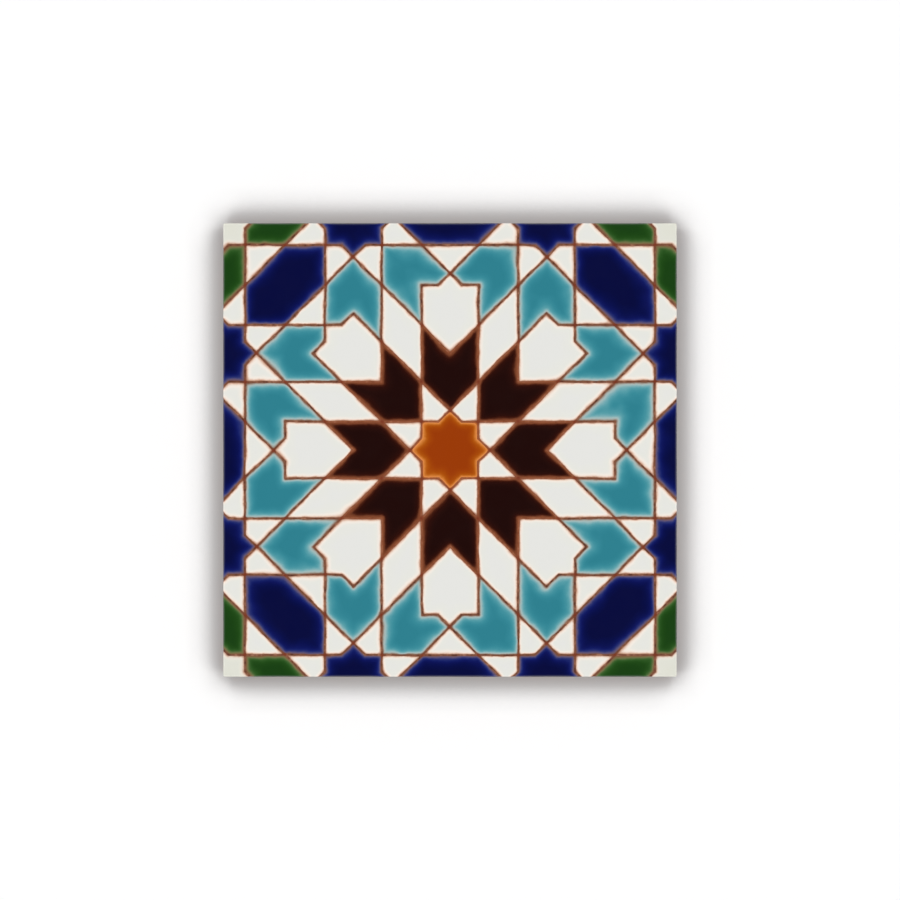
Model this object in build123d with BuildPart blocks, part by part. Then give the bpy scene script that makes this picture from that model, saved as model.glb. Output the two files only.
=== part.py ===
from build123d import *
from math import floor, sqrt
import os

# A square Moroccan relief tile, pressed and fired as one piece of red clay.
# The face carries an eight-fold star-and-strap pattern. Thin raised clay
# ridges follow the straps, and between them lie shallow cells that hold the
# glaze. The back has a grid of shallow keys that grip the mortar bed.
# Millimetres. The origin is the middle of the back, +Z leads to the face.

# The blank
tile_side = 200.0
tile_thickness = 10.0
edge_band = 3.0
flank_draft = 5.0
upright_edge_radius = 1.2
arris_radius = 0.8

# The strapwork on the face
pattern_module = 12.47
ridge_width = 1.1
ridge_height = 0.5
ridge_draft = 22.0

# The keys in the back
key_side = 19.0
key_rib = 4.4
key_depth = 1.0
key_draft = 20.0
back_rim = 7.0

# Distances of the pattern's straight lines from the middle, in modules.
# Each stands in eight directions, a turn of 45 degrees apart.
root_two = sqrt(2)
line_one = 1.0
line_two = 1 + root_two
line_three = 3 + root_two
line_four = 3 + 3 * root_two
star_point = root_two
star_notch = root_two - 1
shoulder = line_three + root_two
mirror_line = line_four + 1
pattern_repeat = 2 * mirror_line
eighth_turn = 45


def turned(corners, eighths):
    """The same cell turned about the middle by a number of eighth turns."""
    cell = []
    for x, y in corners:
        point = Vector(x, y).rotate(Axis.Z, eighth_turn * eighths)
        cell.append((point.X, point.Y))
    return cell


def flipped(corners):
    """The mirror image below the X axis, still drawn anticlockwise."""
    return [(x, -y) for x, y in reversed(corners)]


def shifted(corners, along_x, along_y):
    """The same cell moved sideways."""
    return [(x + along_x, y + along_y) for x, y in corners]


def around(corners):
    """Eight copies, one in each direction of the star."""
    return [turned(corners, k) for k in range(8)]


def per_side(corners):
    """Four copies, one for each side of the square."""
    return [turned(corners, k) for k in (0, 2, 4, 6)]


def both_halves(corners):
    """Eight copies: one in each half of each side of the square."""
    return per_side(corners) + per_side(flipped(corners))


def inset(corners, gap):
    """The cell with every side moved in by the gap and its corners kept sharp."""
    cell = []
    for i, corner in enumerate(corners):
        here = Vector(*corner)
        arriving = (here - Vector(*corners[i - 1])).normalized()
        leaving = (Vector(*corners[(i + 1) % len(corners)]) - here).normalized()
        inward = Vector(-arriving.Y - leaving.Y, arriving.X + leaving.X)
        cell.append(here + inward * (gap / (1 + arriving.dot(leaving))))
    return cell


# The cells of one repeat, drawn anticlockwise, in modules
star = []
for k in range(8):
    star += turned([(star_point, 0), (line_one, star_notch)], k)

star_kite = [(line_one, star_notch), (star_point, 0), (line_two, 1), (1, 1)]
arrow = [
    (star_point, 0),
    (line_two, -1),
    (line_three, -1),
    (root_two * line_two, 0),
    (line_three, 1),
    (line_two, 1),
]
rhomb = [
    (line_two, 1),
    (line_three, 1),
    (shoulder, line_two),
    (line_two + root_two, line_two),
]
shield = [
    (root_two * line_two, 0),
    (line_three, -1),
    (shoulder, -1),
    (shoulder, -star_notch),
    (root_two * line_three, 0),
    (shoulder, star_notch),
    (shoulder, 1),
    (line_three, 1),
]
petal = [
    (line_three, 1),
    (shoulder, 1),
    (shoulder, star_notch),
    (root_two * line_three, 0),
    (line_four, 1),
    (line_four, line_two),
    (shoulder, line_two),
]
lower_kite = [
    (shoulder, line_two),
    (line_four, line_two),
    (line_four, line_two + 1 - star_notch),
    (line_four - star_notch, line_two + 1),
]
upper_kite = [
    (line_four - star_notch, line_two + 1),
    (line_four, line_three - 1 + star_notch),
    (line_four, line_three),
    (shoulder, line_three),
]
lower_edge_kite = [
    (line_four, 1),
    (mirror_line, line_two - star_notch),
    (mirror_line - star_notch, line_two),
    (line_four, line_two),
]
upper_edge_kite = [
    (line_four, line_three),
    (mirror_line - star_notch, line_three),
    (mirror_line, line_three + star_notch),
    (line_four, shoulder),
]
edge_arrow = [
    (mirror_line, line_three + star_notch),
    (pattern_repeat - line_four, shoulder),
    (pattern_repeat - line_four, line_four),
    (mirror_line + star_notch, line_four),
    (mirror_line, mirror_line - star_point),
    (mirror_line - star_notch, line_four),
    (line_four, line_four),
    (line_four, shoulder),
]
side_triangle = [
    (root_two * line_three, 0),
    (line_four, -1),
    (line_four, 1),
]
side_hexagon = [
    (line_four, -1),
    (mirror_line, -2),
    (pattern_repeat - line_four, -1),
    (pattern_repeat - line_four, 1),
    (mirror_line, 2),
    (line_four, 1),
]
corner_hexagon = [
    (line_three, shoulder),
    (shoulder, line_three),
    (line_four, line_three),
    (line_four, shoulder),
    (shoulder, line_four),
    (line_three, line_four),
]
inner_triangle = [
    (line_three, line_three),
    (shoulder, line_three),
    (line_three, shoulder),
]
outer_triangle = [
    (line_four, line_four),
    (shoulder, line_four),
    (line_four, shoulder),
]

one_repeat = [star]
for cell in (star_kite, arrow, rhomb, shield, petal, flipped(petal)):
    one_repeat += around(cell)
for cell in (lower_kite, upper_kite, lower_edge_kite, upper_edge_kite, edge_arrow):
    one_repeat += both_halves(cell)
one_repeat += both_halves(shifted(star, mirror_line, line_two + 1))
for cell in (side_triangle, side_hexagon, corner_hexagon, inner_triangle, outer_triangle):
    one_repeat += per_side(cell)
one_repeat += per_side(shifted(star, mirror_line, mirror_line))

# Every cell that reaches the tile's face, each one once
half_side = tile_side / 2
cells = {}
for across in (-1, 0, 1):
    for up in (-1, 0, 1):
        for cell in one_repeat:
            moved = shifted(cell, across * pattern_repeat, up * pattern_repeat)
            points = [(x * pattern_module, y * pattern_module) for x, y in moved]
            middle_x = sum(x for x, y in points) / len(points)
            middle_y = sum(y for x, y in points) / len(points)
            nearest_x = min(abs(x) for x, y in points)
            nearest_y = min(abs(y) for x, y in points)
            if max(nearest_x, nearest_y) < half_side:
                cells[(round(middle_x, 1), round(middle_y, 1))] = points

# The keys stand in an even number each way, so that a rib crosses the middle
keys_across = 2 * floor((tile_side - 2 * back_rim + key_rib) / (key_side + key_rib) / 2)

with BuildPart() as tile:
    # The blank: a square band below the face, then sides that draw in to the back
    with BuildSketch(Plane.XY.offset(tile_thickness - edge_band)) as blank:
        RectangleRounded(tile_side, tile_side, upright_edge_radius)
    extrude(blank.sketch, amount=edge_band)
    extrude(blank.sketch, amount=edge_band - tile_thickness, taper=flank_draft)

    # The soft arris round the face
    face_edges = tile.faces().sort_by(Axis.Z)[-1].edges()
    fillet(face_edges, radius=arris_radius)

    # The keys in the back
    with BuildSketch(Plane.XY) as keys:
        with GridLocations(key_side + key_rib, key_side + key_rib, keys_across, keys_across):
            Rectangle(key_side, key_side)
    extrude(keys.sketch, amount=key_depth, taper=key_draft, mode=Mode.SUBTRACT)

    # The cells between the ridges: each is the drawn cell less half a ridge
    with BuildSketch(Plane.XY.offset(tile_thickness)) as mouths:
        outlines = []
        for points in cells.values():
            outline = Polygon(*inset(points, ridge_width / 2), align=None, mode=Mode.PRIVATE)
            outlines.append(outline)
        add(outlines)
    extrude(mouths.sketch, amount=-ridge_height, taper=ridge_draft, mode=Mode.SUBTRACT)

tile.part.label = "tile"

os.makedirs("parts", exist_ok=True)
export_step(tile.part, "parts/tile.step")
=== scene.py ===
"""A square Moroccan relief tile, lying face up in a soft studio light.

Shapes are worked out in millimetres and turned to metres as each mesh is made.

The pattern stands on straight lines at 1, 1 + r, 3 + r and 3 + 3 r modules from the
middle in eight directions, where r is the root of two. The lines bound the cells.

A cell's surface is a function of two parameters (s, n). s runs round the cell's
outline, n counts rings in towards its hub, the inner point that lies furthest from
its sides. Ring n crosses ray s where the ray is first a(n) from the clay ridges and
b(n) from the tile's side. The distance from the ridges is a smooth minimum over the
runs of ridge between two outward corners: -k log(sum(exp(-d / k))), so that the
rings turn the corners in a soft bend. The height is a function of both distances.
"""

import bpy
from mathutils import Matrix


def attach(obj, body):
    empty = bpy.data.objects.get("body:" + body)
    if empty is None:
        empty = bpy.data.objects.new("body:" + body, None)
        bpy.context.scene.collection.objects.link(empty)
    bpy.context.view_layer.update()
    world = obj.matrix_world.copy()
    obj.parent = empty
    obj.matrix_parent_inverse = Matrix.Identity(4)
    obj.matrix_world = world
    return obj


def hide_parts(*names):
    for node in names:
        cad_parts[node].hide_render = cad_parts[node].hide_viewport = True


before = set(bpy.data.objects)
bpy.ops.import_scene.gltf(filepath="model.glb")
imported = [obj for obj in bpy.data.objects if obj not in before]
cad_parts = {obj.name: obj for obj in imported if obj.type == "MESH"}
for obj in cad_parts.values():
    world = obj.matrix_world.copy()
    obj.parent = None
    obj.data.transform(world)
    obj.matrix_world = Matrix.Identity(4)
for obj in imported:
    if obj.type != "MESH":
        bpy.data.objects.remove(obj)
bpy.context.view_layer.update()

import bpy
import numpy as np

# The tile: one slab of red clay, pressed in a mould and fired. Thin ridges stand on
# its face along the lines of the pattern, its sides draw in a little towards the back,
# and shallow square keys in the back grip the mortar.
THICKNESS = 10.0
HALF_SIDE = 99.9
CORNER_RADIUS = 0.7
ARRIS_RADIUS = 0.8
MODULE = 12.47
ROOT_TWO = 2 ** 0.5
LINE_1 = 1.0
LINE_2 = 1 + ROOT_TWO
LINE_3 = 3 + ROOT_TWO
LINE_4 = 3 + 3 * ROOT_TWO
POINT = ROOT_TWO
NOTCH = ROOT_TWO - 1
SHOULDER = LINE_3 + ROOT_TWO
MIRROR = LINE_4 + 1
REPEAT = 2 * MIRROR
CORNER_SOFTNESS = 0.22


def turned(corners, eighths):
    """Turns a cell about the middle of the tile by eighths of a turn."""
    angle = eighths * np.pi / 4
    cosine, sine = np.cos(angle), np.sin(angle)
    return np.asarray(corners, float) @ np.array([[cosine, sine], [-sine, cosine]])


def flipped(corners):
    """The cell mirrored in the X axis, still anticlockwise."""
    return (np.asarray(corners, float) * [1, -1])[::-1]


def around(corners):
    """Eight copies of a cell, one in each direction of the star."""
    return [turned(corners, k) for k in range(8)]


def per_side(corners):
    """Four copies of a cell, one for each side of the tile."""
    return [turned(corners, k) for k in (0, 2, 4, 6)]


def both_halves(corners):
    """Eight copies of a cell, one in each half of each side."""
    return per_side(corners) + per_side(flipped(corners))


star = np.concatenate([turned([(POINT, 0), (LINE_1, NOTCH)], k) for k in range(8)])
petal = [(LINE_3, 1), (SHOULDER, 1), (SHOULDER, NOTCH), (ROOT_TWO * LINE_3, 0),
         (LINE_4, 1), (LINE_4, LINE_2), (SHOULDER, LINE_2)]
drawn = {
    "white": (
        around([(LINE_1, NOTCH), (POINT, 0), (LINE_2, 1), (1, 1)])
        + around([(LINE_2, 1), (LINE_3, 1), (SHOULDER, LINE_2), (LINE_2 + ROOT_TWO, LINE_2)])
        + around([(ROOT_TWO * LINE_2, 0), (LINE_3, -1), (SHOULDER, -1), (SHOULDER, -NOTCH),
                  (ROOT_TWO * LINE_3, 0), (SHOULDER, NOTCH), (SHOULDER, 1), (LINE_3, 1)])
        + both_halves([(SHOULDER, LINE_2), (LINE_4, LINE_2), (LINE_4, LINE_2 + 1 - NOTCH),
                       (LINE_4 - NOTCH, LINE_2 + 1)])
        + both_halves([(LINE_4 - NOTCH, LINE_2 + 1), (LINE_4, LINE_3 - 1 + NOTCH),
                       (LINE_4, LINE_3), (SHOULDER, LINE_3)])
        + both_halves([(LINE_4, 1), (MIRROR, LINE_2 - NOTCH), (MIRROR - NOTCH, LINE_2),
                       (LINE_4, LINE_2)])
        + both_halves([(LINE_4, LINE_3), (MIRROR - NOTCH, LINE_3), (MIRROR, LINE_3 + NOTCH),
                       (LINE_4, SHOULDER)])
        + per_side([(ROOT_TWO * LINE_3, 0), (LINE_4, -1), (LINE_4, 1)])
        + per_side([(LINE_3, LINE_3), (SHOULDER, LINE_3), (LINE_3, SHOULDER)])
        + per_side([(LINE_4, LINE_4), (SHOULDER, LINE_4), (LINE_4, SHOULDER)])),
    "cream": per_side(star + [MIRROR, MIRROR]),
    "turquoise": around(petal) + around(flipped(petal)),
    "navy": (
        both_halves(star + [MIRROR, LINE_2 + 1])
        + per_side([(LINE_4, -1), (MIRROR, -2), (REPEAT - LINE_4, -1), (REPEAT - LINE_4, 1),
                    (MIRROR, 2), (LINE_4, 1)])
        + per_side([(LINE_3, SHOULDER), (SHOULDER, LINE_3), (LINE_4, LINE_3),
                    (LINE_4, SHOULDER), (SHOULDER, LINE_4), (LINE_3, LINE_4)])),
    "black": around([(POINT, 0), (LINE_2, -1), (LINE_3, -1), (ROOT_TWO * LINE_2, 0),
                     (LINE_3, 1), (LINE_2, 1)]),
    "amber": [star],
    "green": both_halves([(MIRROR, LINE_3 + NOTCH), (REPEAT - LINE_4, SHOULDER),
                          (REPEAT - LINE_4, LINE_4), (MIRROR + NOTCH, LINE_4),
                          (MIRROR, MIRROR - POINT), (MIRROR - NOTCH, LINE_4),
                          (LINE_4, LINE_4), (LINE_4, SHOULDER)]),
}


# A point that lies this close to the tile's side counts as on it
ON_SIDE = 0.03


def side_distance(points, half):
    """How far points lie inside a square of that half side with rounded corners."""
    beyond = np.abs(points) - (half - CORNER_RADIUS)
    outside = np.linalg.norm(np.maximum(beyond, 0), axis=-1)
    return CORNER_RADIUS - outside - np.minimum(beyond.max(-1), 0)


def side_normal(points, half):
    """The outward direction of the rounded square at points on its side."""
    beyond = np.abs(points) - (half - CORNER_RADIUS)
    away = np.maximum(beyond, 0)
    flat = away.max(-1) < 1e-9
    away[flat] = (beyond == beyond.max(-1, keepdims=True))[flat]
    away = away / np.linalg.norm(away, axis=-1, keepdims=True)
    return away * np.sign(points)


def clipped(corners, half):
    """The part of a cell that lies on the tile, cut by the rounded square."""
    bend = np.linspace(0, np.pi / 2, 7)
    quarter = half - CORNER_RADIUS + CORNER_RADIUS * np.stack([np.cos(bend), np.sin(bend)], 1)
    outline = np.concatenate([turned(quarter, k) for k in (0, 2, 4, 6)])
    for start, end in zip(outline, np.roll(outline, -1, axis=0)):
        along = end - start
        inside = along[0] * (corners[:, 1] - start[1]) - along[1] * (corners[:, 0] - start[0])
        following, next_inside = np.roll(corners, -1, axis=0), np.roll(inside, -1)
        share = inside / np.where(inside == next_inside, 1, inside - next_inside)
        crossing = corners + share[:, None] * (following - corners)
        pairs = np.stack([corners, crossing], 1).reshape(-1, 2)
        keep = np.stack([inside >= -1e-9, (inside > 1e-9) & (next_inside < -1e-9)
                         | (inside < -1e-9) & (next_inside > 1e-9)], 1).ravel()
        corners = pairs[keep]
        if len(corners) < 3:
            return corners
    return corners[np.linalg.norm(corners - np.roll(corners, 1, axis=0), axis=1) > 1e-6]


# Rays stand close together beside a corner, where the rings bend, and wider apart between
CORNER_STEPS = np.array([0, 0.2, 0.45, 0.8, 1.25, 1.8])
SHORT_EDGE, SHORT_STEP, LONG_STEP = 4.4, 0.6, 1.5


def stepped(length):
    """Places along an edge as shares of it, closer together near its two ends."""
    if length < SHORT_EDGE:
        return np.arange(0, 1, 1 / max(1, np.ceil(length / SHORT_STEP - 1e-6)))
    reach = CORNER_STEPS[-1]
    count = int(np.ceil((length - 2 * reach) / LONG_STEP - 1e-6)) + 1
    middle = np.linspace(reach, length - reach, count)
    return np.concatenate([CORNER_STEPS[:-1], middle, length - CORNER_STEPS[:0:-1]]) / length


# The hub is the best of a grid of tries, and each ring is found by halving its ray
HUB_TRIES = 61
HALVINGS = 16
LEAST_ADVANCE = 1e-3


class Cell:
    """A cell's outline, hub and ridges, and its rays and rings."""

    def __init__(self, corners, half):
        self.half = half
        after = np.roll(corners, -1, axis=0)
        edge = after - corners
        before = np.roll(edge, 1, axis=0)
        rim = side_distance(corners + edge / 2, half) < ON_SIDE
        outward = before[:, 0] * edge[:, 1] - before[:, 1] * edge[:, 0] > 0
        fresh = outward | rim | np.roll(rim, 1)
        order = (np.arange(len(corners)) + np.flatnonzero(fresh & ~rim)[0]) % len(corners)
        order = order[~rim[order]]
        self.start, self.edge = corners[order], edge[order]
        self.runs = np.flatnonzero(fresh[order])
        self.outline = np.concatenate(
            [a + stepped(np.linalg.norm(e))[:, None] * e for a, e in zip(corners, edge)])
        low, high = corners.min(0), corners.max(0)
        tries = np.stack(np.meshgrid(*np.linspace(low, high, HUB_TRIES).T), -1).reshape(-1, 2)
        inward = np.stack([-edge[:, 1], edge[:, 0]], 1) / np.linalg.norm(edge, axis=1)[:, None]
        room = ((tries[:, None] - corners) * inward).sum(-1).min(1)
        self.hub = tries[np.argmax(room)]

    def distance(self, points, softness=CORNER_SOFTNESS):
        """The smooth distance of points from the ridges round the cell."""
        offset = points - self.start[:, None]
        length = (self.edge ** 2).sum(-1)[:, None]
        along = np.clip((offset * self.edge[:, None]).sum(-1) / length, 0, 1)
        gap = np.linalg.norm(offset - along[..., None] * self.edge[:, None], axis=-1)
        nearest = np.minimum.reduceat(gap, self.runs, axis=0)
        low = nearest.min(0)
        blend = np.exp((low - nearest) / softness).sum(0)
        return np.maximum(low - softness * np.log(blend), 0)

    def rings(self, from_ridge, from_side, inner, wander=None):
        """Points (ring, ray) at those distances, then at shares of the way to the hub."""
        towards = self.hub - self.outline
        share = np.zeros(len(towards)) - LEAST_ADVANCE
        found = []
        for a, b in zip(from_ridge, from_side):
            near, far = np.zeros(len(towards)), np.ones(len(towards))
            for _ in range(HALVINGS):
                middle = (near + far) / 2
                points = self.outline + middle[:, None] * towards
                a_here = a if wander is None else a + wander(points)
                there = self.distance(points) >= a_here
                there &= side_distance(points, self.half) >= b
                far = np.where(there, middle, far)
                near = np.where(there, near, middle)
            here = far if a > 0 or b > 0 else np.zeros(len(towards))
            share = np.maximum(here, share + LEAST_ADVANCE)
            found.append(self.outline + share[:, None] * towards)
        for inward in inner:
            found.append(self.outline + (share + (1 - share) * inward)[:, None] * towards)
        return np.array(found)


WAVE_COUNT, SHORTEST, LONGEST, WAVE_HEIGHT = 9, 0.7, 1.5, 0.8


def waves(points, length, seed):
    """A smooth unevenness from -1 to 1 over the face, about that length from hump to hump.

    It is the sum of plane sine waves in random directions and of random lengths.
    """
    rng = np.random.default_rng(seed)
    angle = rng.uniform(0, np.pi, WAVE_COUNT)
    rate = 2 * np.pi / (length * rng.uniform(SHORTEST, LONGEST, WAVE_COUNT))
    start = rng.uniform(0, 6.28, WAVE_COUNT)
    swing = points @ (np.stack([np.cos(angle), np.sin(angle)]) * rate) + start
    return np.sin(swing).sum(-1) / WAVE_COUNT ** 0.5 * WAVE_HEIGHT


def soft_step(x):
    """Rises from 0 to 1 as x does, and leaves both ends level."""
    x = np.clip(x, 0, 1)
    return x * x * (3 - 2 * x)


# The sway of the hand: how far, and from hump to hump; none at the tile's straight sides
SWAY, LONG_SWAY, SHORT_SWAY = 0.17, 26, 7
STEADY_RIM, RIM_FADE = 99.0, 7.0


def hand_drawn(points):
    """Moves points a tenth of a millimetre or two, as a hand-cut mould does."""
    room = soft_step((STEADY_RIM - np.abs(points).max(-1)) / RIM_FADE)[..., None]
    sway = np.stack([waves(points, LONG_SWAY, 1) + 0.5 * waves(points, SHORT_SWAY, 2),
                     waves(points, LONG_SWAY, 3) + 0.5 * waves(points, SHORT_SWAY, 4)], -1)
    return points + SWAY * room * sway


def arris(inside, top):
    """Height of the rounded edge of the face, as a function of the distance inside it."""
    drop = np.clip(ARRIS_RADIUS - inside, 0, ARRIS_RADIUS)
    return top - ARRIS_RADIUS + np.sqrt(np.maximum(ARRIS_RADIUS ** 2 - drop ** 2, 0))


def sheet_faces(rings, rays, start):
    """The squares between rings of points, and the fan round the hub that follows them."""
    number = start + np.arange(rings * rays).reshape(rings, rays)
    after = np.roll(number, -1, axis=1)
    squares = np.stack([number[:-1], after[:-1], after[1:], number[1:]], -1).reshape(-1, 4)
    fan = np.stack([number[-1], after[-1], np.full(rays, start + rings * rays)], 1)
    return squares, fan


def make_piece(name, points, faces, material, fields):
    """A mesh piece in metres that rides on the tile, with its point fields."""
    mesh = bpy.data.meshes.new(name)
    mesh.from_pydata((np.asarray(points) / 1000).tolist(), [], faces)
    for field, values in fields.items():
        data = mesh.attributes.new(field, "FLOAT", "POINT")
        data.data.foreach_set("value", np.asarray(values, np.float32))
    mesh.polygons.foreach_set("use_smooth", [True] * len(mesh.polygons))
    mesh.set_sharp_from_angle(angle=np.radians(52))
    mesh.materials.append(material)
    piece = bpy.data.objects.new(name, mesh)
    bpy.context.scene.collection.objects.link(piece)
    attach(piece, "root")
    return piece


# The face: each ridge has a nearly flat crest, then falls in a soft wall to the cell
RIDGE_STEPS = [0, 0.20, 0.36, 0.50, 0.66, 0.86]
SIDE_STEPS = [0, 0.05, 0.16, 0.34, 0.56, 0.82]
CREST_HALF, CREST_DROP = 0.25, 0.04
WALL_WIDTH, CELL_DEPTH = 0.5, 0.5
body_points, squares, fans, count = [], [], [], 0
for cells in drawn.values():
    for corners in cells:
        outline = clipped(corners * MODULE, HALF_SIDE)
        if len(outline) < 3:
            continue
        cell = Cell(outline, HALF_SIDE)
        plan = cell.rings(RIDGE_STEPS, SIDE_STEPS, [])
        flat = plan.reshape(-1, 2)
        gap, inside = cell.distance(flat), side_distance(flat, HALF_SIDE)
        crest = CREST_DROP * (gap / CREST_HALF) ** 2
        wall = CREST_DROP + (CELL_DEPTH - CREST_DROP) * soft_step((gap - CREST_HALF) / WALL_WIDTH)
        ridge = THICKNESS - np.where(gap < CREST_HALF, crest, wall)
        height = np.minimum(ridge, arris(np.maximum(inside, 0), THICKNESS))
        hub = [*cell.hub, THICKNESS - CELL_DEPTH]
        body_points.append(np.vstack([np.column_stack([flat, height]), hub]))
        cell_squares, cell_fan = sheet_faces(*plan.shape[:2], count)
        squares.append(cell_squares)
        fans.append(cell_fan)
        count += len(flat) + 1
body_points = np.concatenate(body_points)

# Cells share the crest of the ridge between them, so points in one place become one
place = np.round(body_points + 3.3e-5, 3)
_, first, index = np.unique(place, axis=0, return_index=True, return_inverse=True)
index = index.ravel()
body_points = body_points[first]
body_faces = index[np.concatenate(squares)].tolist() + index[np.concatenate(fans)].tolist()

# Amber and black glaze run thin over their ridges, and the clay glows through them
GLOW_FADE = 0.3
glow = np.zeros(len(body_points))
for colour, strength, reach in (("black", 0.4, 0.5), ("amber", 0.5, 0.8)):
    for corners in drawn[colour]:
        gap = Cell(np.asarray(corners) * MODULE, HALF_SIDE).distance(body_points[:, :2])
        glow = np.maximum(glow, strength * soft_step((reach - gap) / GLOW_FADE))

# Where two ridges cross, the clay stands bare and shows redder
CROSSING_REACH, FAR_OFF = 1.1, 9.0
meetings = np.concatenate([np.asarray(corners) * MODULE
                           for cells in drawn.values() for corners in cells])
meetings, cells_there = np.unique(np.round(meetings + 3.3e-4, 2), axis=0, return_counts=True)
crossings = meetings[cells_there > 2]
to_crossing = np.full(len(body_points), FAR_OFF)
for crossing in crossings:
    to_crossing = np.minimum(to_crossing, np.linalg.norm(body_points[:, :2] - crossing, axis=1))
redness = np.exp(-(to_crossing / CROSSING_REACH) ** 2)

# The sides: rows of points carried down from the rim and in to the flat of the back
ON_RIM = 0.02
rim = np.flatnonzero((side_distance(body_points[:, :2], HALF_SIDE) < ON_RIM)
                     & (body_points[:, 2] < THICKNESS - ARRIS_RADIUS + ON_RIM))
rim = rim[np.argsort(np.arctan2(body_points[rim, 1], body_points[rim, 0]))]
DRAW_IN = [0, 0, 0.02, 0.10, 0.34, 0.58, 0.66, 0.84, 1.10]
DOWN_TO = [8.5, 7.4, 6.9, 5.9, 3.2, 0.45, 0.18, 0.03, 0]
rim_plan = body_points[rim, :2]
outward = side_normal(rim_plan, HALF_SIDE)
rows = [np.column_stack([rim_plan - inset * outward, np.full(len(rim), z)])
        for inset, z in zip(DRAW_IN, DOWN_TO)]
body_points[:, :2] = hand_drawn(body_points[:, :2])
side_start = len(body_points)
body_points = np.vstack([body_points, *rows])
for n in range(len(rows)):
    upper = rim if n == 0 else side_start + (n - 1) * len(rim) + np.arange(len(rim))
    lower = side_start + n * len(rim) + np.arange(len(rim))
    body_faces += np.stack([lower, np.roll(lower, -1), np.roll(upper, -1), upper], 1).tolist()

# The back: a grid of points over eight by eight keys, and four flat strips out to the sides
KEY_COUNT, KEY_SIDE, KEY_PITCH, KEY_DEPTH, KEY_SLOPE = 8, 19.0, 23.4, 1.0, 0.36
key_middle = (np.arange(KEY_COUNT) - (KEY_COUNT - 1) / 2) * KEY_PITCH
key_lines = (key_middle[:, None] + np.array([-KEY_SIDE / 2, KEY_SLOPE - KEY_SIDE / 2,
                                             KEY_SIDE / 2 - KEY_SLOPE, KEY_SIDE / 2])).ravel()
in_key = np.tile([0.0, 1.0, 1.0, 0.0], KEY_COUNT)
grid_x, grid_y = np.meshgrid(key_lines, key_lines, indexing="ij")
grid_z = KEY_DEPTH * np.minimum(*np.meshgrid(in_key, in_key, indexing="ij"))
grid_start = len(body_points)
body_points = np.vstack([body_points, np.stack([grid_x, grid_y, grid_z], -1).reshape(-1, 3)])
many = len(key_lines)
number = grid_start + np.arange(many * many).reshape(many, many)
body_faces += np.stack([number[:-1, :-1], number[:-1, 1:], number[1:, 1:], number[1:, :-1]],
                       -1).reshape(-1, 4).tolist()
last_row = side_start + (len(rows) - 1) * len(rim) + np.arange(len(rim))
grid_sides = [number[-1, :], number[::-1, -1], number[0, ::-1], number[:, 0]]
for k, grid_side in enumerate(grid_sides):
    middle = turned([(1, 0)], 2 * k)[0]
    across = np.abs(rim_plan @ [-middle[1], middle[0]])
    chosen = np.flatnonzero((rim_plan @ middle > 0) & (across <= rim_plan @ middle + 1e-6))
    around_side = np.argsort(rim_plan[chosen] @ [-middle[1], middle[0]])
    strip = np.concatenate([last_row[chosen][around_side], grid_side[::-1]])
    body_faces.append(strip[::-1].tolist())

# The clay: streaked red brown on the ridges, paler and grainy with dark specks elsewhere
clay = bpy.data.materials.new("fired_clay")
clay.use_nodes = True
clay_tree = clay.node_tree
nodes, links = clay_tree.nodes, clay_tree.links
shader = nodes["Principled BSDF"]
shader.inputs["Roughness"].default_value = 0.62
shader.inputs["Specular IOR Level"].default_value = 0.25
clay_place = nodes.new("ShaderNodeTexCoord").outputs["Object"]


def noise(tree, where, scale, detail, name):
    """A noise texture on the piece's own coordinates, in cycles a metre."""
    made = tree.nodes.new("ShaderNodeTexNoise")
    made.name = name
    made.inputs["Scale"].default_value = scale
    made.inputs["Detail"].default_value = detail
    tree.links.new(where, made.inputs["Vector"])
    return made.outputs["Fac"]


def ramp(tree, value, stops, name):
    """A colour ramp with (place, colour) stops."""
    made = tree.nodes.new("ShaderNodeValToRGB")
    made.name = name
    band = made.color_ramp
    while len(band.elements) < len(stops):
        band.elements.new(1)
    for element, (at, colour) in zip(band.elements, stops):
        element.position = at
        element.color = colour
    tree.links.new(value, made.inputs["Fac"])
    return made.outputs["Color"]


def blended(tree, share, first, second, name):
    """Two colours mixed by a share from 0 to 1; each is a socket or a colour."""
    made = tree.nodes.new("ShaderNodeMix")
    made.name = name
    made.data_type = "RGBA"
    tree.links.new(share, made.inputs["Factor"])
    for socket, value in ((made.inputs[6], first), (made.inputs[7], second)):
        if isinstance(value, bpy.types.NodeSocket):
            tree.links.new(value, socket)
        else:
            socket.default_value = value
    return made.outputs[2]


def field_of(tree, name):
    """A float field stored on the piece's points."""
    made = tree.nodes.new("ShaderNodeAttribute")
    made.attribute_name = name
    return made.outputs["Fac"]


def paint(red, green, blue):
    """A colour as the eye reads it on a screen, 0 to 255, for a shader."""
    screen = np.array([red, green, blue]) / 255
    light = np.where(screen <= 0.04045, screen / 12.92, ((screen + 0.055) / 1.055) ** 2.4)
    return (*light.tolist(), 1.0)


def grey(share):
    """A grey for a shader that works as a plain share from 0 to 1."""
    return (share, share, share, 1.0)


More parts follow.
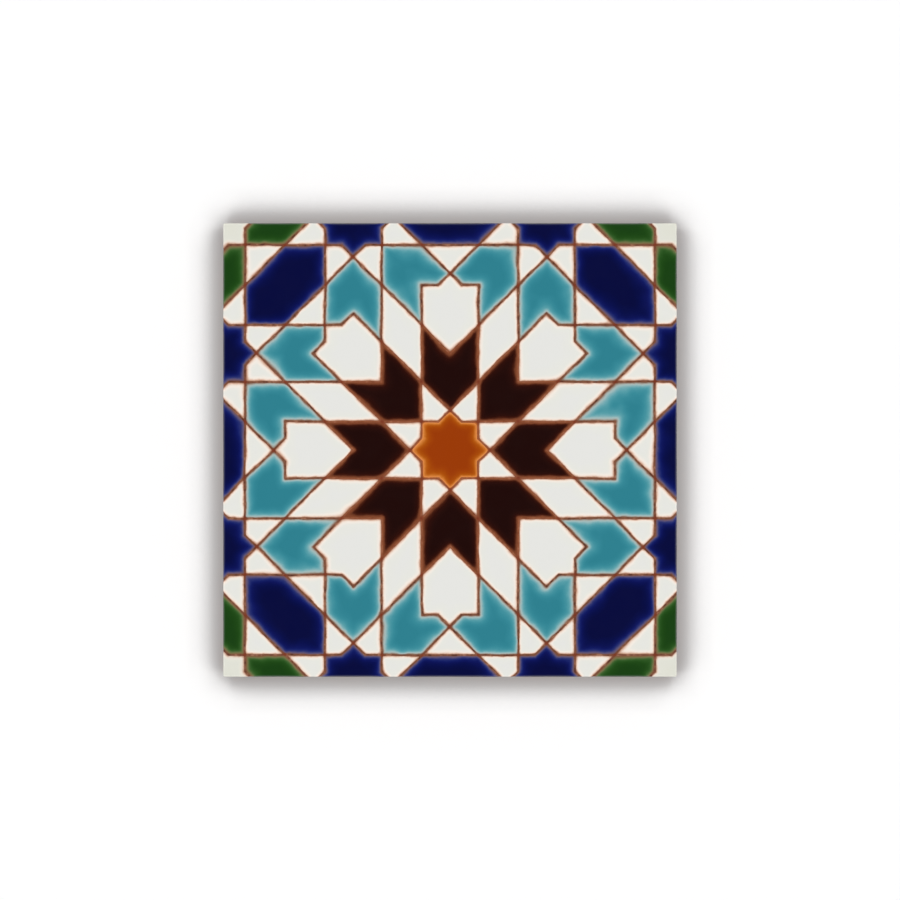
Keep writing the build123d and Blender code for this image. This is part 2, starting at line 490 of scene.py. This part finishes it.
DARK_CLAY, RIDGE_CLAY, PALE_CLAY = paint(90, 46, 28), paint(122, 73, 49), paint(160, 110, 84)
GLOWING_CLAY, CROSSING_CLAY = paint(172, 86, 36), paint(120, 44, 8)
SIDE_CLAY, SIDE_PALE, SIDE_DARK = paint(176, 128, 102), paint(198, 156, 132), paint(136, 92, 70)
SIDE_FLASH, SPECK_CLAY = paint(190, 140, 108), paint(104, 66, 50)
streak = noise(clay_tree, clay_place, 480, 5, "streaks")
ridge_colour = ramp(clay_tree, streak, [
    (0.35, DARK_CLAY), (0.46, RIDGE_CLAY), (0.55, RIDGE_CLAY), (0.70, PALE_CLAY)], "ridge colour")
ridge_colour = blended(clay_tree, field_of(clay_tree, "glow"),
                       ridge_colour, GLOWING_CLAY, "clay through thin glaze")
ridge_colour = blended(clay_tree, field_of(clay_tree, "redness"),
                       ridge_colour, CROSSING_CLAY, "bare clay at the crossings")
grain = noise(clay_tree, clay_place, 1900, 5, "grain")
side_colour = ramp(clay_tree, grain, [
    (0.28, SIDE_DARK), (0.42, SIDE_CLAY), (0.58, SIDE_CLAY), (0.75, SIDE_PALE)], "side colour")
firing = noise(clay_tree, clay_place, 26, 4, "uneven firing")
fired = ramp(clay_tree, firing, [(0.35, grey(0)), (0.68, grey(0.55))], "firing")
side_colour = blended(clay_tree, fired, side_colour, SIDE_FLASH, "flashed in the kiln")
specks = noise(clay_tree, clay_place, 620, 2, "grog specks")
speckled = ramp(clay_tree, specks, [
    (0.26, grey(0.8)), (0.31, grey(0)), (0.72, grey(0)), (0.76, grey(0.6))], "specks")
side_colour = blended(clay_tree, speckled, side_colour, SPECK_CLAY, "specks in the clay")
FACE_FROM, FACE_TO = 0.0086, 0.0093
height_node = nodes.new("ShaderNodeSeparateXYZ")
links.new(clay_place, height_node.inputs["Vector"])
face_mask = nodes.new("ShaderNodeMapRange")
face_mask.inputs["From Min"].default_value = FACE_FROM
face_mask.inputs["From Max"].default_value = FACE_TO
links.new(height_node.outputs["Z"], face_mask.inputs["Value"])
clay_colour = blended(clay_tree, face_mask.outputs["Result"], side_colour, ridge_colour,
                      "face and sides")
links.new(clay_colour, shader.inputs["Base Color"])
rough = nodes.new("ShaderNodeBump")
rough.inputs["Strength"].default_value = 0.5
rough.inputs["Distance"].default_value = 0.00012
links.new(grain, rough.inputs["Height"])
links.new(rough.outputs["Normal"], shader.inputs["Normal"])

sides_and_back = np.zeros(len(body_points) - len(glow))
body = make_piece("tile_body", body_points, body_faces, clay,
                  {"glow": np.append(glow, sides_and_back),
                   "redness": np.append(redness, sides_and_back)})
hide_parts("tile")

# The glazes: each cell was filled by hand with one wet glaze, which pooled between the
# ridges and melted to glass. It is thin and pale beside the ridges, deep in the middle,
# and where the tile's side cuts a cell it rolls over the edge and stops in a bead.
GLAZE_HALF = 99.98
GLAZE_TOP = THICKNESS - 0.15
GLAZE_BED = THICKNESS - 0.44
POOL_RIDGE_STEPS = [0.37, 0.47, 0.61, 0.80, 1.04, 1.34, 1.7, 2.2, 2.9]
POOL_SIDE_STEPS = [0, 0.05, 0.13, 0.26, 0.44, 0.66, 0.9, 1.4, 2.2]
POOL_INNER = [0.16, 0.36, 0.6, 0.82]
TINT_SOFTNESS = 0.32

# The top of a pool dips beside the ridge and swells again towards the middle
DIP, DIP_FROM, DIP_WIDTH = 0.05, 0.5, 0.7
SWELL, SWELL_FROM, SWELL_WIDTH = 0.05, 1.4, 4.0

# Its edge turns under: a thin lip beside a ridge, a bead over the tile's side
LIP_DROP, LIP_UNDER, LIP_TUCK = 0.1, 0.16, 0.02
BEAD_FOOT, BEAD_UNDER, BEAD_TUCK = 8.75, 0.12, 0.3
BEAD_RUNS, BEAD_DRIPS = 0.32, 0.2
BED_INSET = 0.45

# How far a pool's edge wanders, in long and short bends
LONG_BEND, SHORT_BEND = 0.05, 0.03


def ragged(points):
    """How much a glaze's edge wanders off the straight ridge, in millimetres."""
    return LONG_BEND * waves(points, 5, 11) + SHORT_BEND * waves(points, 1.7, 12)


def pools(cells, tint_softness):
    """The closed pools of one glaze: points, faces and depth field for its cells."""
    points, faces, depths, count = [], [], [], 0
    for corners in cells:
        outline = clipped(corners * MODULE, GLAZE_HALF)
        if len(outline) < 3:
            continue
        cell = Cell(outline, GLAZE_HALF)
        plan = cell.rings(POOL_RIDGE_STEPS, POOL_SIDE_STEPS, POOL_INNER, ragged)
        flat = plan.reshape(-1, 2)
        gap = cell.distance(flat) - ragged(flat)
        inside = np.maximum(side_distance(flat, GLAZE_HALF), 0)
        level = (GLAZE_TOP - DIP * soft_step((gap - DIP_FROM) / DIP_WIDTH)
                 + SWELL * soft_step((gap - SWELL_FROM) / SWELL_WIDTH))
        height = np.minimum(level, arris(inside, GLAZE_TOP)).reshape(plan.shape[:2])
        edge = plan[0]
        on_side = side_distance(edge, GLAZE_HALF) < ON_SIDE
        inward = cell.hub - edge
        inward = inward / np.linalg.norm(inward, axis=1)[:, None]
        bead = BEAD_FOOT - BEAD_RUNS * waves(edge, 9, 21) - BEAD_DRIPS * waves(edge, 3, 22)
        lip = np.where(on_side, bead, height[0] - LIP_DROP)
        under = np.where(on_side, bead - BEAD_UNDER, height[0] - LIP_UNDER)
        tucked = edge + np.where(on_side, BEAD_TUCK, LIP_TUCK)[:, None] * inward
        bed = edge + BED_INSET * inward
        rings = np.concatenate([
            [np.column_stack([bed, np.full(len(edge), GLAZE_BED)])],
            [np.column_stack([tucked, under])],
            [np.column_stack([edge, lip])],
            np.concatenate([plan, height[..., None]], -1)])
        points.append(np.vstack([rings.reshape(-1, 3), [*cell.hub, GLAZE_TOP]]))
        cell_squares, cell_fan = sheet_faces(*rings.shape[:2], count)
        faces += cell_squares.tolist() + cell_fan.tolist()
        faces.append((count + np.arange(len(edge)))[::-1].tolist())
        tint = cell.distance(flat, tint_softness) - ragged(flat)
        edge_tint = np.tile(tint.reshape(plan.shape[:2])[0], 3)
        depths.append(np.concatenate([edge_tint, tint, cell.distance(cell.hub[None])]))
        count += len(points[-1])
    points = np.concatenate(points)
    points[:, :2] = hand_drawn(points[:, :2])
    return points, faces, np.concatenate(depths)


def pour(name, material, cells, tint_softness=TINT_SOFTNESS):
    """One piece of the tile: all the pools of one glaze."""
    points, faces, depth = pools(cells, tint_softness)
    make_piece(name, points, faces, material, {"from_ridge": depth})


# The skin that all the glazes share: from a point's distance to the ridge it gives how
# deep the glaze looks there, with an uneven edge and fuller and leaner pours, and how
# smooth and level it is.
EDGE_WANDER, FINE_WANDER = 1.0, 0.4
POOL_FOOT, LEANEST, FULLER = 0.4, 0.05, 1.9
DEPTH_RANGE = 8.0
skin = bpy.data.node_groups.new("glaze skin", "ShaderNodeTree")
skin.interface.new_socket("Place", in_out="INPUT", socket_type="NodeSocketVector")
skin.interface.new_socket("Distance From Ridge", in_out="INPUT", socket_type="NodeSocketFloat")
skin.interface.new_socket("Depth", in_out="OUTPUT", socket_type="NodeSocketFloat")
skin.interface.new_socket("Roughness", in_out="OUTPUT", socket_type="NodeSocketFloat")
skin.interface.new_socket("Normal", in_out="OUTPUT", socket_type="NodeSocketVector")
skin_in, skin_out = skin.nodes.new("NodeGroupInput"), skin.nodes.new("NodeGroupOutput")


def arithmetic(tree, operation, first, second, third=None):
    """One step of arithmetic on sockets or numbers."""
    made = tree.nodes.new("ShaderNodeMath")
    made.operation = operation
    for socket, value in zip(made.inputs, (first, second, third)):
        if isinstance(value, bpy.types.NodeSocket):
            tree.links.new(value, socket)
        elif value is not None:
            socket.default_value = value
    return made.outputs["Value"]


uneven = noise(skin, skin_in.outputs["Place"], 230, 3, "uneven edge")
uneven_fine = noise(skin, skin_in.outputs["Place"], 900, 3, "fine unevenness")
shift = arithmetic(skin, "MULTIPLY_ADD", uneven, EDGE_WANDER, -EDGE_WANDER / 2)
fine_shift = arithmetic(skin, "MULTIPLY_ADD", uneven_fine, FINE_WANDER, -FINE_WANDER / 2)
spread = arithmetic(skin, "ADD", shift, fine_shift)
measured = arithmetic(skin, "ADD", skin_in.outputs["Distance From Ridge"], spread)
poured = noise(skin, skin_in.outputs["Place"], 62, 2, "fuller and leaner pours")
fullness = arithmetic(skin, "MULTIPLY_ADD", poured, FULLER, LEANEST)
beyond_ridge = arithmetic(skin, "SUBTRACT", measured, POOL_FOOT)
measured = arithmetic(skin, "MULTIPLY_ADD", beyond_ridge, fullness, POOL_FOOT)
skin.links.new(arithmetic(skin, "DIVIDE", measured, DEPTH_RANGE), skin_out.inputs["Depth"])
clouded = noise(skin, skin_in.outputs["Place"], 160, 4, "clouding")
skin.links.new(arithmetic(skin, "MULTIPLY_ADD", clouded, 0.10, 0.09),
               skin_out.inputs["Roughness"])
ripple = noise(skin, skin_in.outputs["Place"], 140, 2, "ripple")
skin_bump = skin.nodes.new("ShaderNodeBump")
skin_bump.inputs["Strength"].default_value = 0.25
skin_bump.inputs["Distance"].default_value = 0.0004
skin.links.new(ripple, skin_bump.inputs["Height"])
skin.links.new(skin_bump.outputs["Normal"], skin_out.inputs["Normal"])


def glaze(name, colours):
    """Glossy glaze with colours given as (millimetres from the ridge, colour)."""
    made = bpy.data.materials.new(name)
    made.use_nodes = True
    tree = made.node_tree
    shader = tree.nodes["Principled BSDF"]
    where = tree.nodes.new("ShaderNodeTexCoord")
    group = tree.nodes.new("ShaderNodeGroup")
    group.node_tree = skin
    tree.links.new(where.outputs["Object"], group.inputs["Place"])
    tree.links.new(field_of(tree, "from_ridge"), group.inputs["Distance From Ridge"])
    stops = [(at / DEPTH_RANGE, paint(*colour)) for at, colour in colours]
    tree.links.new(ramp(tree, group.outputs["Depth"], stops, "glaze depth"),
                   shader.inputs["Base Color"])
    shader.inputs["Specular IOR Level"].default_value = 0.44
    tree.links.new(group.outputs["Roughness"], shader.inputs["Roughness"])
    tree.links.new(group.outputs["Normal"], shader.inputs["Normal"])
    return made


# White tin glaze in the kites, rhombs, shields and triangles: opaque, with a warm cream
# line where it runs thin beside the clay. From 1 to 2 mm off the ridge the colour is painted
# lighter than the deep white: partly that thin warm glaze, partly a painted highlight.
white = glaze("white_glaze", [
    (0.38, (170, 118, 94)), (0.62, (210, 168, 144)), (0.85, (234, 206, 188)),
    (1.1, (246, 230, 216)), (1.5, (247, 239, 229)), (2, (238, 235, 227)),
    (2.6, (234, 234, 227)), (6, (233, 233, 229))])
pour("white_pools", white, drawn["white"])

# The same tin glaze, a little creamier, in the four corner stars, of which the tile's
# sides leave a quarter each.
# As in the white, the colour 1 to 2 mm off the ridge is painted lighter than the deep cream:
# partly thin warm glaze, partly a painted highlight
cream = glaze("cream_glaze", [
    (0.38, (164, 114, 90)), (0.62, (200, 162, 140)), (0.85, (222, 194, 176)),
    (1.1, (234, 219, 204)), (1.5, (238, 231, 218)), (2, (231, 230, 218)),
    (2.6, (228, 228, 217)), (6, (227, 227, 215))])
pour("cream_corner_pools", cream, drawn["cream"])

# Turquoise copper glaze in the sixteen petals: a clear glass, pale blue where it is thin
# beside the ridges and deeper in the middle, where it pooled.
turquoise = glaze("turquoise_glaze", [
    (0.38, (130, 96, 78)), (0.62, (154, 138, 124)), (0.82, (166, 168, 160)),
    (1.05, (171, 188, 186)), (1.4, (152, 187, 188)), (1.7, (128, 177, 182)),
    (2, (108, 169, 178)), (2.42, (86, 158, 168)), (3.1, (70, 148, 161)),
    (4, (58, 140, 154)), (5, (52, 134, 149)), (6.6, (48, 130, 145))])
pour("turquoise_pools", turquoise, drawn["turquoise"])

# Navy cobalt glaze in the edge stars and hexagons: royal blue by the ridges, nearly
# black where it is deep.
navy = glaze("navy_glaze", [
    (0.38, (118, 86, 86)), (0.66, (108, 88, 106)), (1, (86, 80, 120)),
    (1.22, (66, 66, 116)), (1.5, (44, 52, 113)), (2, (27, 37, 106)), (2.42, (17, 26, 96)),
    (3.1, (13, 20, 86)), (4, (10, 17, 77)), (5, (9, 15, 70)), (7, (9, 13, 62))])
pour("navy_pools", navy, drawn["navy"])

# Black-brown manganese glaze in the arrows: so thin on the ridges that the clay shows
# through it in a warm orange brown.
black = glaze("black_brown_glaze", [
    (0.4, (132, 72, 46)), (0.6, (130, 71, 45)), (0.85, (116, 62, 39)),
    (1.06, (102, 53, 33)), (1.25, (78, 35, 22)), (1.55, (62, 24, 14)), (2, (47, 16, 10)),
    (2.5, (43, 15, 11)), (3.5, (37, 14, 11)), (5, (33, 12, 10))])
pour("black_brown_pools", black, drawn["black"], 0.42)

# Amber iron glaze in the star in the middle of the tile: a clear glass, so its thin rim
# is a bright orange and its middle a deep rust.
amber = glaze("amber_glaze", [
    (0.38, (190, 102, 48)), (0.55, (228, 144, 80)), (0.95, (214, 127, 56)),
    (1.3, (200, 113, 40)), (1.7, (183, 92, 21)), (2.1, (175, 82, 14)), (2.6, (169, 75, 11)),
    (3.1, (165, 70, 10)), (4, (160, 64, 10)), (5, (156, 60, 9))])
pour("amber_star_pool", amber, drawn["amber"], 0.5)

# Green copper glaze in the eight arrows that the tile's sides cut in half: olive where it
# is thin beside the ridges, bottle green where it is deep.
green = glaze("green_glaze", [
    (0.4, (128, 92, 64)), (0.77, (126, 108, 71)), (1, (112, 113, 72)),
    (1.21, (100, 112, 67)), (1.54, (73, 102, 54)), (1.98, (52, 92, 40)),
    (2.42, (42, 83, 32)), (3.1, (34, 75, 25)), (4, (30, 70, 22)), (5.5, (27, 66, 21))])
pour("green_pools", green, drawn["green"])

# The stage: a plain white floor just under the tile. It looks white and keeps the soft shadow
# close round the tile, where an ambient occlusion node also darkens its colour into a painted
# shadow, and it throws a little less light back at the tile's sides.
FLOOR_REACH, FLOOR_DROP = 8.0, 0.00004
PAINTED_SHADOW_REACH = 0.019
corners = FLOOR_REACH * np.array([[0, 1], [-0.866, -0.5], [0.866, -0.5]])
floor_mesh = bpy.data.meshes.new("floor")
floor_mesh.from_pydata(np.column_stack([corners, np.full(3, -FLOOR_DROP)]).tolist(), [],
                       [[0, 1, 2]])
floor = bpy.data.objects.new("floor", floor_mesh)
bpy.context.scene.collection.objects.link(floor)
floor_paint = bpy.data.materials.new("floor_paint")
floor_paint.use_nodes = True
floor_tree = floor_paint.node_tree
floor_shader = floor_tree.nodes["Principled BSDF"]
floor_shader.inputs["Roughness"].default_value = 1.0
floor_shader.inputs["Specular IOR Level"].default_value = 0.0
# Painted shadow: an ambient occlusion node darkens the floor's colour seen by the camera within
# 19 mm of the tile
painted_shadow_occlusion = floor_tree.nodes.new("ShaderNodeAmbientOcclusion")
painted_shadow_occlusion.inputs["Distance"].default_value = PAINTED_SHADOW_REACH
painted_shadow = ramp(floor_tree, painted_shadow_occlusion.outputs["AO"], [
    (0.5, (0.53, 0.55, 0.56, 1)), (0.65, (0.555, 0.57, 0.58, 1)),
    (0.73, (0.577, 0.587, 0.592, 1)), (0.8, (0.63, 0.637, 0.642, 1)),
    (0.91, (0.916, 0.92, 0.922, 1)), (0.95, (0.98, 0.98, 0.98, 1)),
    (1.0, (1, 1, 1, 1))], "painted shadow close to the tile")
ray = floor_tree.nodes.new("ShaderNodeLightPath")
seen = arithmetic(floor_tree, "MAXIMUM", ray.outputs["Is Camera Ray"],
                  ray.outputs["Is Glossy Ray"])
seen = arithmetic(floor_tree, "MAXIMUM", seen, ray.outputs["Is Transmission Ray"])
floor_tree.links.new(blended(floor_tree, seen, grey(0.8), painted_shadow, "floor colour"),
                     floor_shader.inputs["Base Color"])
floor_mesh.materials.append(floor_paint)

# The light: a dome with a bright ring high round the tile, white at the horizon and dim
# between, and dark straight overhead, so that the glazes show their colour and not a lamp.
world = bpy.data.worlds.new("studio")
bpy.context.scene.world = world
world.use_nodes = True
sky = world.node_tree
background = sky.nodes["Background"]
background.inputs["Color"].default_value = (1, 1, 1, 1)
direction = sky.nodes.new("ShaderNodeTexCoord")
parts = sky.nodes.new("ShaderNodeSeparateXYZ")
sky.links.new(direction.outputs["Generated"], parts.inputs["Vector"])
RING_LIGHT = 1.70
brightness = ramp(sky, parts.outputs["Z"], [
    (0.0, grey(0.62)), (0.08, grey(0.62)), (0.2, grey(0.27)), (0.56, grey(0.27)),
    (0.66, grey(1.0)), (0.9, grey(1.0)), (0.955, grey(0.0))], "dome brightness")
sky.links.new(arithmetic(sky, "MULTIPLY", brightness, RING_LIGHT), background.inputs["Strength"])

# The camera: straight above, square to the tile, through a long lens, so far off that
# the tile takes up just over half of the picture's width.
LENS, SENSOR = 85, 36
TILE_SIDE, SHARE_OF_WIDTH = 0.2, 454 / 900
camera_data = bpy.data.cameras.new("camera")
camera_data.lens = LENS
camera_data.sensor_width = SENSOR
camera = bpy.data.objects.new("camera", camera_data)
camera.location = (0, 0, THICKNESS / 1000 + TILE_SIDE / SHARE_OF_WIDTH * LENS / SENSOR)
bpy.context.scene.collection.objects.link(camera)
bpy.context.scene.camera = camera
bpy.context.scene.view_settings.view_transform = "Standard"
